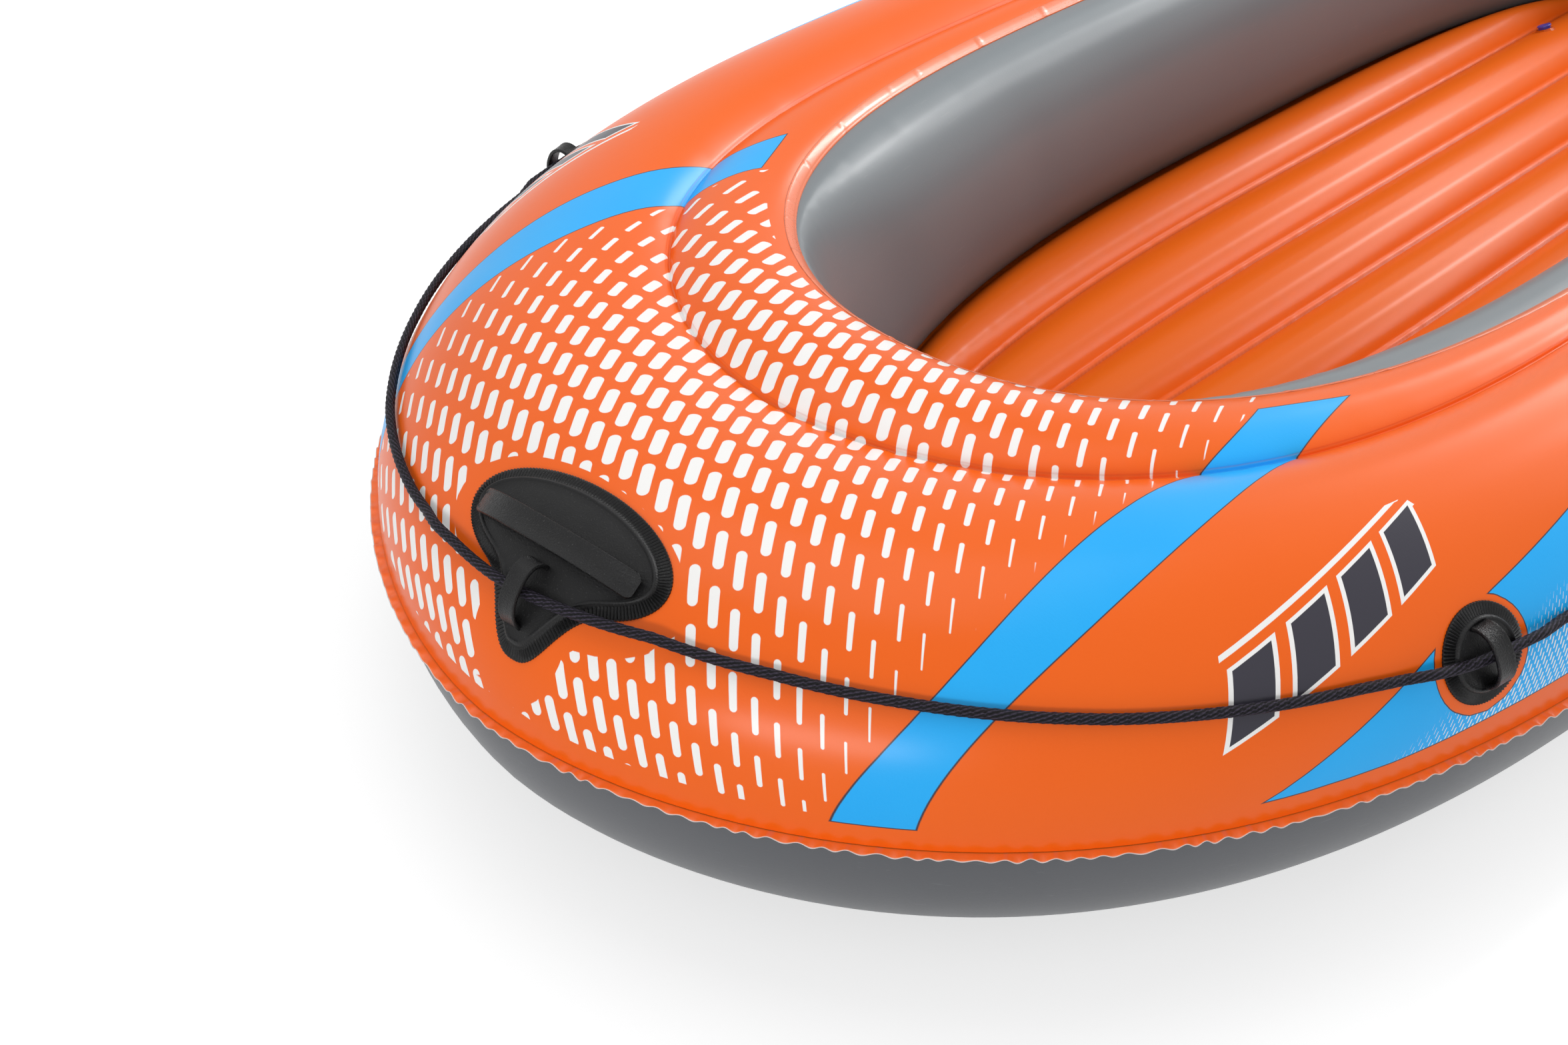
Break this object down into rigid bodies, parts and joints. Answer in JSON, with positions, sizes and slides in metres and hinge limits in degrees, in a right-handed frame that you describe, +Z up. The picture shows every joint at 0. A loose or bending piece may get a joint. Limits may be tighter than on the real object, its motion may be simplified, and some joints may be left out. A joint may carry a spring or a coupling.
{
  "type": "inflatable boat",
  "caption": "Small inflatable boat with orange welded tubes, grey underside, ribbed air floor, rubber bow and stern handles, grab rope and screw and push-in valves.",
  "frame": {"origin": "on the ground under the middle of the hull", "axes": "bow towards -Y, port side towards +X, +Z up"},
  "size_m": [0.943, 2.123, 0.28],
  "materials": {
    "orange_vinyl": "satin",
    "floor_vinyl": "glossy",
    "grey_vinyl": "satin",
    "black_rubber": "matte",
    "rope_fibre": "matte",
    "valve_vinyl": "satin",
    "valve_rubber": "matte"
  },
  "bodies": {
    "boat": {"hull_top_skin": "orange_vinyl", "hull_bottom_skin": "grey_vinyl", "cockpit_wall_skin": "grey_vinyl", "tube_baffle": "grey_vinyl", "outer_seam_flange": "grey_vinyl", "cockpit_edge_band": "orange_vinyl", "floor_top_skin": "floor_vinyl", "floor_bottom_skin": "grey_vinyl", "bow_handle_plate": "black_rubber", "bow_handle_strap": "black_rubber", "stern_handle_plate": "black_rubber", "stern_handle_strap": "black_rubber", "port_fore_rope_grommet": "black_rubber", "port_mid_rope_grommet": "black_rubber", "port_aft_rope_grommet": "black_rubber", "starboard_fore_rope_grommet": "black_rubber", "starboard_mid_rope_grommet": "black_rubber", "starboard_aft_rope_grommet": "black_rubber", "grab_rope": "rope_fibre", "rope_knot": "rope_fibre", "floor_valve_body": "valve_vinyl", "inner_tube_valve_body": "valve_vinyl", "main_valve_body": "valve_vinyl", "main_valve_cap_strap": "valve_vinyl"},
    "floor_valve_stem": {"floor_valve_stem": "valve_vinyl", "floor_valve_tether": "valve_vinyl"},
    "floor_valve_plug": {"floor_valve_cap": "valve_vinyl"},
    "floor_valve_flap": {"floor_valve_flap": "valve_rubber"},
    "inner_tube_valve_stem": {"inner_tube_valve_stem": "valve_vinyl", "inner_tube_valve_tether": "valve_vinyl"},
    "inner_tube_valve_plug": {"inner_tube_valve_cap": "valve_vinyl"},
    "inner_tube_valve_flap": {"inner_tube_valve_flap": "valve_rubber"},
    "main_valve_ring": {"main_valve_cap_ring": "valve_vinyl"},
    "main_valve_screw_cap": {"main_valve_cap": "valve_vinyl", "main_valve_seal": "valve_rubber"},
    "main_valve_check_flap": {"main_valve_check_flap": "valve_rubber"}
  },
  "joints": [
    {"name": "floor_valve_stem_pull", "type": "slide", "parent": "boat", "child": "floor_valve_stem", "axis": [-0.4226, 0, 0.9063], "range_m": [0, 0.009]},
    {"name": "floor_valve_plug_pull", "type": "slide", "parent": "floor_valve_stem", "child": "floor_valve_plug", "axis": [-0.4226, 0, 0.9063], "range_m": [0, 0.006]},
    {"name": "floor_valve_flap_hinge", "type": "hinge", "parent": "floor_valve_stem", "child": "floor_valve_flap", "pos_m": [-0.14108, 0.51397, 0.03642], "axis": [0, 1, 0], "range_deg": [0, 50], "stiffness_Nm_per_rad": 0.001, "springref_deg": -11.46},
    {"name": "inner_tube_valve_stem_pull", "type": "slide", "parent": "boat", "child": "inner_tube_valve_stem", "axis": [-0.0544, 0.0302, 0.9981], "range_m": [0, 0.009]},
    {"name": "inner_tube_valve_plug_pull", "type": "slide", "parent": "inner_tube_valve_stem", "child": "inner_tube_valve_plug", "axis": [-0.0544, 0.0302, 0.9981], "range_m": [0, 0.006]},
    {"name": "inner_tube_valve_flap_hinge", "type": "hinge", "parent": "inner_tube_valve_stem", "child": "inner_tube_valve_flap", "pos_m": [-0.13388, 0.81145, 0.23899], "axis": [0, 0.9995, -0.0302], "range_deg": [0, 50], "stiffness_Nm_per_rad": 0.001, "springref_deg": -11.46},
    {"name": "main_valve_cap_rise", "type": "slide", "parent": "boat", "child": "main_valve_ring", "axis": [0.06, 0.1353, 0.989], "range_m": [0, 0.006]},
    {"name": "main_valve_cap_turn", "type": "hinge", "parent": "main_valve_ring", "child": "main_valve_screw_cap", "pos_m": [0.1302, 0.91406, 0.26191], "axis": [0.06, 0.1353, 0.989], "range_deg": [0, 540]},
    {"name": "main_valve_check_flap_hinge", "type": "hinge", "parent": "boat", "child": "main_valve_check_flap", "pos_m": [0.11587, 0.91224, 0.24857], "axis": [0, 0.9908, -0.1355], "range_deg": [0, 45], "stiffness_Nm_per_rad": 0.002, "springref_deg": -11.46}
  ],
  "couplings": [
    {"joint": "main_valve_cap_rise", "follows": "main_valve_cap_turn", "m_per_rad": 0.000636}
  ]
}
